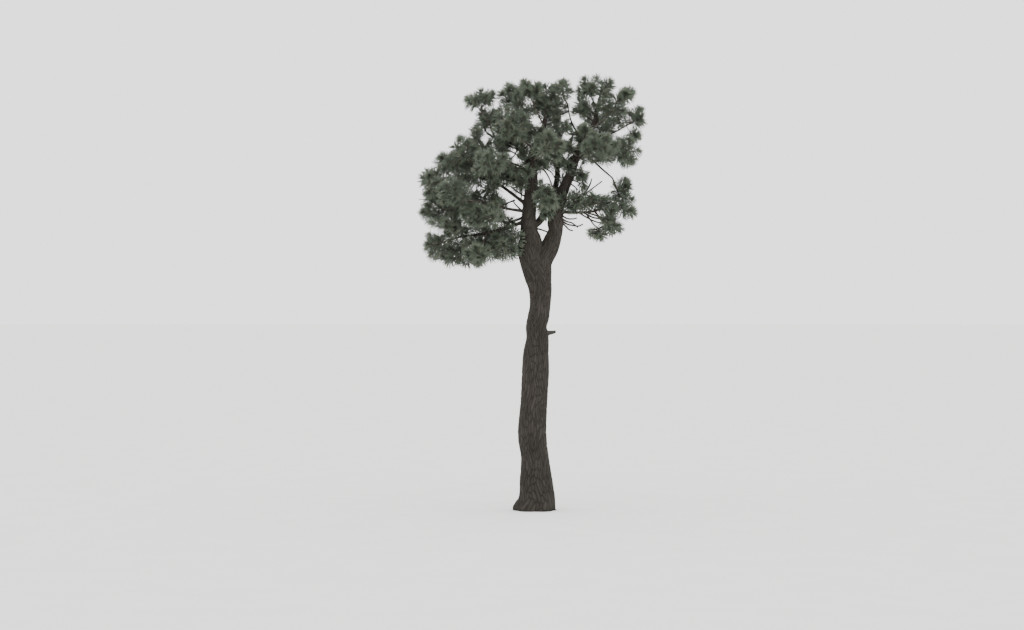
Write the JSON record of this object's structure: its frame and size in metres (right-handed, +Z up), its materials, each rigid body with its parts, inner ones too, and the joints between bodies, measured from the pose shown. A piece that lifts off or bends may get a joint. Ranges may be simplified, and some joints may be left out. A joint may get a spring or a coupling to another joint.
{
  "type": "pine tree",
  "caption": "Long-needled pine on a bare waving trunk that forks into leaders, with an open, lopsided crown of upturned needle brushes.",
  "frame": {"origin": "middle of the flat cut under the trunk, at ground level", "axes": "+Z up along the trunk; the tree is seen from the -Y side as in the picture, with its heavier half of the crown towards -X"},
  "size_m": [3.0925, 2.1921, 5.8215],
  "materials": {
    "bark": "furrowed, dry bark",
    "dead_wood": "weathered, bare",
    "needles": "waxy needles in brushes, with their twigs"
  },
  "bodies": {
    "root": {"left_high_bough": "bark", "left_high_front_bough": "bark", "left_leader": "bark", "left_low_back_bough": "bark", "left_low_bough": "bark", "left_mid_back_bough": "bark", "left_mid_bough": "bark", "left_mid_front_bough": "bark", "middle_leader": "bark", "middle_top_bough": "bark", "right_back_bough": "bark", "right_drooping_bough": "bark", "right_edge_bough": "bark", "right_front_bough": "bark", "right_leader": "bark", "right_low_bough": "bark", "trunk": "bark", "dead_stub": "dead_wood", "dead_snag": "dead_wood", "fork_front": "needles", "high_back": "needles", "high_front": "needles", "left_back": "needles", "left_edge_high": "needles", "left_edge_low": "needles", "left_front": "needles", "left_high": "needles", "left_high_front": "needles", "left_inner_back": "needles", "left_low_shelf": "needles", "left_shelf_front": "needles", "left_shelf_inner": "needles", "left_shoulder_back": "needles", "left_shoulder_low": "needles", "left_shoulder_mid": "needles", "left_twin_brush": "needles", "low_back": "needles", "low_front": "needles", "low_inner": "needles", "low_left_tip": "needles", "low_left_under": "needles", "middle_back": "needles", "middle_front": "needles", "right_back": "needles", "right_drooping_tip": "needles", "right_edge": "needles", "right_far_top": "needles", "right_front": "needles", "right_hanging_brush": "needles", "right_inner": "needles", "right_low_edge": "needles", "right_low_under": "needles", "right_shelf": "needles", "right_shoulder": "needles", "right_top": "needles", "top_back": "needles", "top_centre": "needles", "top_left": "needles", "top_middle": "needles", "top_right": "needles"}
  },
  "joints": []
}
